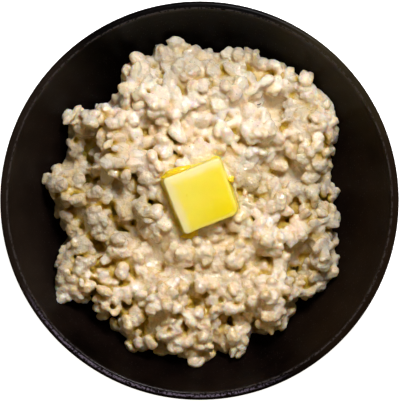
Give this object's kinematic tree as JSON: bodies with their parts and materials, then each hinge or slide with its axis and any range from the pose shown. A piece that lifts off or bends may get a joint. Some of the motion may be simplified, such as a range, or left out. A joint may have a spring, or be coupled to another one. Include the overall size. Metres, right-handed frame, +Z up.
{
  "type": "bowl of porridge",
  "caption": "Round black stoneware bowl with a heap of creamy pearl barley porridge and a pat of melting butter on top.",
  "frame": {"origin": "middle of the bowl's foot, on the plane it stands on", "axes": "+Z up out of the bowl; +Y towards the far side of the bowl as it is seen from above, +X to the right"},
  "size_m": [0.18, 0.18, 0.0532],
  "materials": {
    "stoneware": "satin black glaze with fine specks",
    "porridge": "moist, creamy, faintly translucent grains",
    "butter": "smooth, softening, slightly greasy"
  },
  "bodies": {
    "root": {"bowl": "stoneware", "porridge_heap": "porridge", "butter_pat": "butter"}
  },
  "joints": []
}
